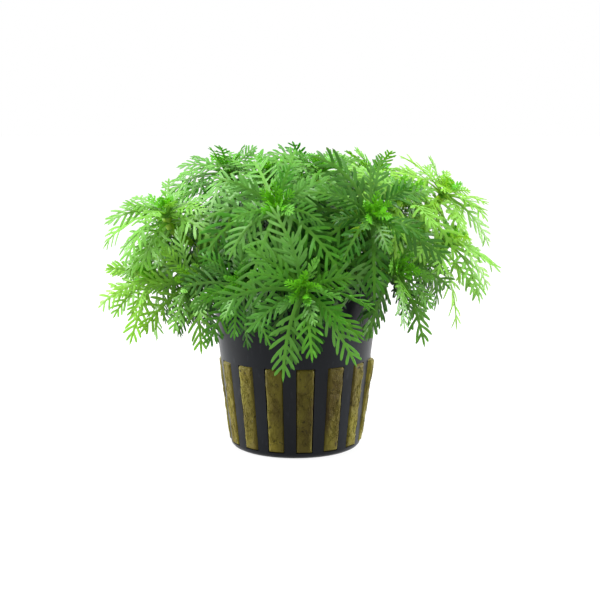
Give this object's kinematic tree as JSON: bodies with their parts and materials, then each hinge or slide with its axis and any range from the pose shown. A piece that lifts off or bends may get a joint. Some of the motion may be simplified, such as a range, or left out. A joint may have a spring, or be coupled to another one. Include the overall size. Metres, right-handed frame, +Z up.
{
  "type": "potted water violet",
  "caption": "Water violet in a slotted net pot: a dome of comb-leaved rosettes on soft stems, rooted in a rockwool plug.",
  "frame": {"origin": "middle of the pot's flat base, on the surface that the pot stands on", "axes": "+Z up along the pot's axis, -Y to the front that the picture shows, +X to the front's right"},
  "size_m": [0.1182, 0.0955, 0.09],
  "materials": {
    "pot": "satin",
    "rockwool": "matte",
    "stem": "satin",
    "leaf": "satin"
  },
  "bodies": {
    "root": {"pot": "pot", "rockwool_plug": "rockwool", "stem_01": "stem", "stem_02": "stem", "stem_03": "stem", "stem_04": "stem", "stem_05": "stem", "stem_06": "stem", "stem_07": "stem", "stem_08": "stem", "stem_09": "stem", "stem_10": "stem", "stem_11": "stem", "stem_12": "stem", "stem_13": "stem", "stem_14": "stem", "stem_15": "stem", "stem_16": "stem", "stem_17": "stem", "stem_18": "stem", "stem_19": "stem", "rosette_01": "leaf", "rosette_02": "leaf", "rosette_03": "leaf", "rosette_04": "leaf", "rosette_05": "leaf", "rosette_06": "leaf", "rosette_07": "leaf", "rosette_08": "leaf", "rosette_09": "leaf", "rosette_10": "leaf", "rosette_11": "leaf", "rosette_12": "leaf", "rosette_13": "leaf", "rosette_14": "leaf", "rosette_15": "leaf", "rosette_16": "leaf", "rosette_17": "leaf", "rosette_18": "leaf", "rosette_19": "leaf", "lower_leaf_01": "leaf", "lower_leaf_02": "leaf", "lower_leaf_03": "leaf", "lower_leaf_04": "leaf", "lower_leaf_05": "leaf", "lower_leaf_06": "leaf", "lower_leaf_07": "leaf", "lower_leaf_08": "leaf", "lower_leaf_09": "leaf", "lower_leaf_10": "leaf", "lower_leaf_11": "leaf", "lower_leaf_12": "leaf", "lower_leaf_13": "leaf", "lower_leaf_14": "leaf", "lower_leaf_15": "leaf", "lower_leaf_16": "leaf", "lower_leaf_17": "leaf", "lower_leaf_18": "leaf", "lower_leaf_19": "leaf", "lower_leaf_20": "leaf"}
  },
  "joints": []
}
